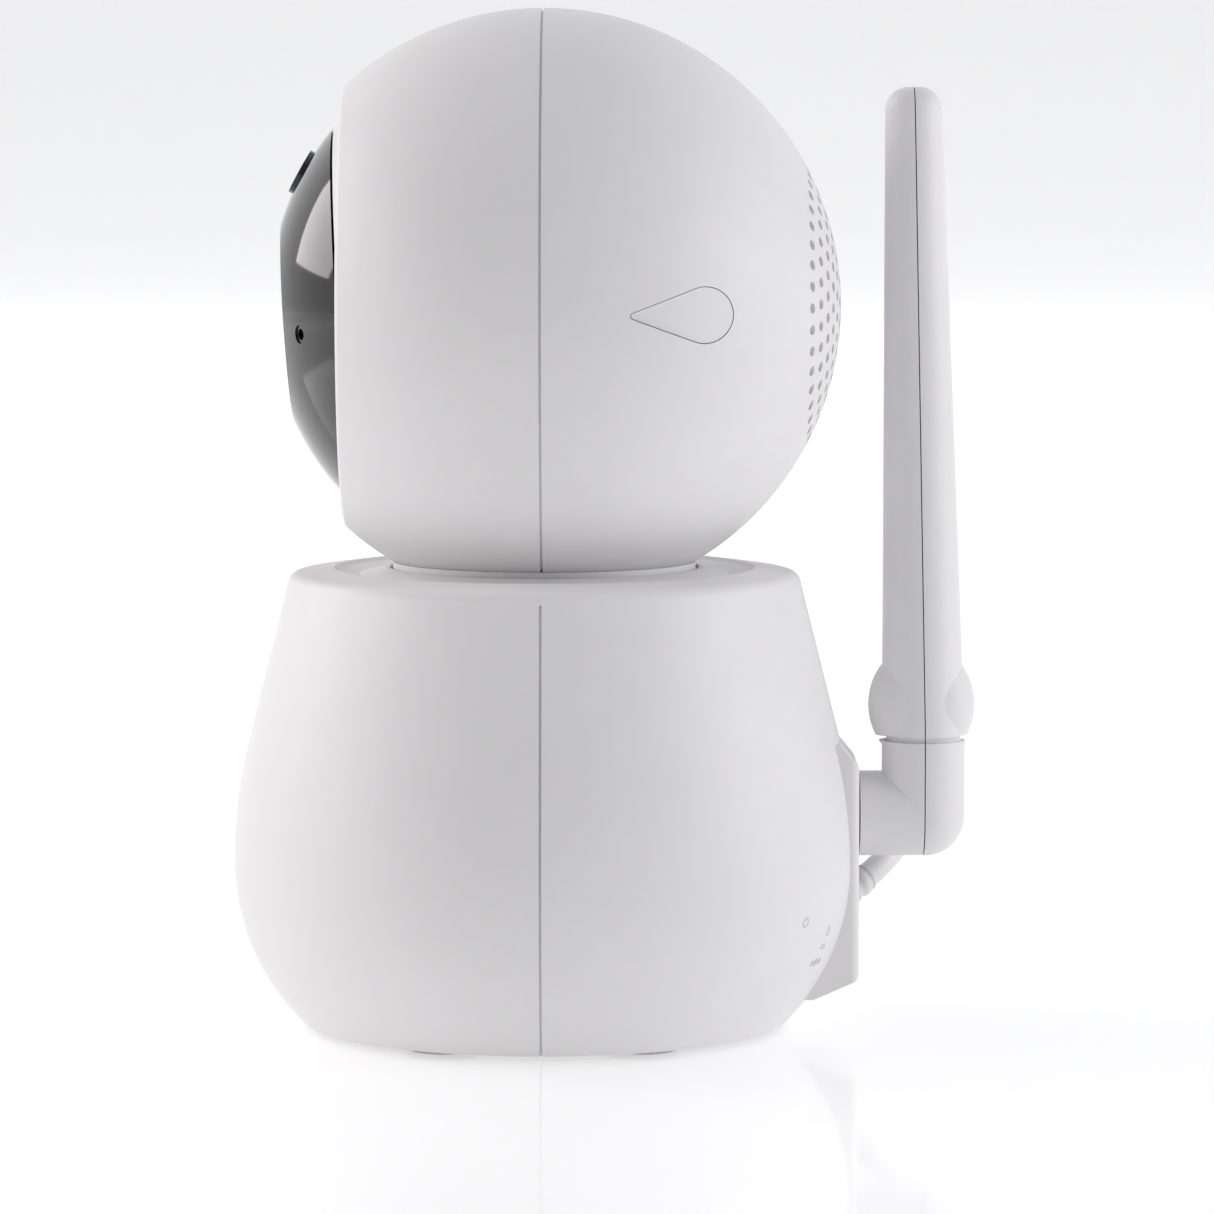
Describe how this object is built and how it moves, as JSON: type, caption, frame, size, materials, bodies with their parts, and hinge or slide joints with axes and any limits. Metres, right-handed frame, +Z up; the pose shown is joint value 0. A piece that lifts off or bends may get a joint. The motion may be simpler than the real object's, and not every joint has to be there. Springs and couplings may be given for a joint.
{
  "type": "baby monitor camera",
  "caption": "Round-headed pan and tilt camera on a swelling base, with a black glossy tilting face, a rear speaker grille, a swinging rod aerial and a coiled power lead.",
  "frame": {"origin": "on the surface the camera stands on, on the pan axis through the middle of the round base", "axes": "+Z up; -Y is the way the camera looks; the aerial and the power lead are at +Y; +X is to the left of someone facing the lens"},
  "size_m": [0.1664, 0.1044, 0.143],
  "materials": {
    "white_plastic": "fine satin moulding",
    "pad_plastic": "smooth satin",
    "grey_plastic": "moulded, matt",
    "acetal": "natural acetal, satin",
    "black_gloss": "polished, smoked black",
    "black_plastic": "matt black",
    "window": "coated clear window",
    "rubber": "soft grey rubber",
    "screw_steel": "zinc-plated steel",
    "motor_steel": "plated steel can",
    "board": "green solder mask",
    "chips": "moulded chip packages",
    "led": "clear epoxy",
    "aerial_metal": "brass",
    "cord_white": "soft white PVC",
    "plug_white": "satin moulded PVC",
    "tie": "black soft tie",
    "contact_steel": "bright nickel plate"
  },
  "bodies": {
    "base": {"base_front_shell": "white_plastic", "base_rear_shell": "white_plastic", "base_cover": "white_plastic", "foot_pads": "rubber", "cover_screws": "screw_steel", "base_deck": "grey_plastic", "deck_screws": "screw_steel", "pan_bush": "acetal", "pan_motor": "motor_steel", "motor_bracket": "grey_plastic", "main_board": "board", "small_screws": "screw_steel", "board_chips": "chips", "rf_shield": "screw_steel", "power_jack": "black_plastic", "power_plug": "plug_white", "power_cord": "cord_white", "cord_coil": "cord_white", "cord_tail": "cord_white", "cord_tie": "tie", "usb_plug_body": "plug_white", "usb_plug_shell": "contact_steel"},
    "pair_button": {"pair_button": "white_plastic"},
    "head": {"head_front_shell": "white_plastic", "head_rear_shell": "white_plastic", "side_pad_right": "pad_plastic", "side_pad_left": "pad_plastic", "head_screws": "screw_steel", "speaker": "motor_steel", "speaker_gasket": "black_plastic", "tilt_frame": "grey_plastic", "tilt_motor": "motor_steel", "tilt_pins": "screw_steel", "pan_neck": "white_plastic", "neck_screws": "screw_steel", "neck_clip": "screw_steel", "pan_gear": "acetal"},
    "eye": {"eye_shell": "white_plastic", "eye_carrier": "grey_plastic", "eye_screws": "screw_steel", "face_cover": "black_gloss", "lens_window": "window", "lens_barrel": "black_plastic", "lens_glass": "window", "lens_holder": "black_plastic", "sensor_board": "board", "ir_board": "board", "ir_leds": "led", "light_sensor": "black_gloss", "microphone": "black_plastic", "tilt_sector": "acetal"},
    "pan_pinion": {"pan_pinion": "acetal"},
    "tilt_pinion": {"tilt_pinion": "acetal"},
    "aerial": {"antenna_elbow": "white_plastic", "antenna_elbow_cover": "white_plastic", "antenna_mast_front": "white_plastic", "antenna_mast_rear": "white_plastic", "antenna_element": "aerial_metal", "antenna_clip": "screw_steel"}
  },
  "joints": [
    {"name": "head_pan", "type": "hinge", "parent": "base", "child": "head", "pos_m": [0, 0, 0.055], "axis": [0, 0, 1], "range_deg": [-175, 175]},
    {"name": "pan_pinion_spin", "type": "hinge", "parent": "base", "child": "pan_pinion", "pos_m": [0, -0.0248, 0.048], "axis": [0, 0, 1], "range_deg": [-735, 735]},
    {"name": "eye_tilt", "type": "hinge", "parent": "head", "child": "eye", "pos_m": [0, 0, 0.1014], "axis": [1, 0, 0], "range_deg": [-26, 19]},
    {"name": "tilt_pinion_spin", "type": "hinge", "parent": "head", "child": "tilt_pinion", "pos_m": [-0.03, 0.01131, 0.11271], "axis": [1, 0, 0], "range_deg": [-80, 80]},
    {"name": "aerial_swing", "type": "hinge", "parent": "base", "child": "aerial", "pos_m": [0, 0.044, 0.0298], "axis": [0, 1, 0], "range_deg": [-60, 90]},
    {"name": "pair_press", "type": "slide", "parent": "base", "child": "pair_button", "axis": [0, 0, 1], "range_m": [0, 0.0005], "stiffness_N_per_m": 1500, "springref_m": -0.0003}
  ],
  "couplings": [
    {"joint": "pan_pinion_spin", "follows": "head_pan", "ratio": -4.1667},
    {"joint": "tilt_pinion_spin", "follows": "eye_tilt", "ratio": -3}
  ]
}
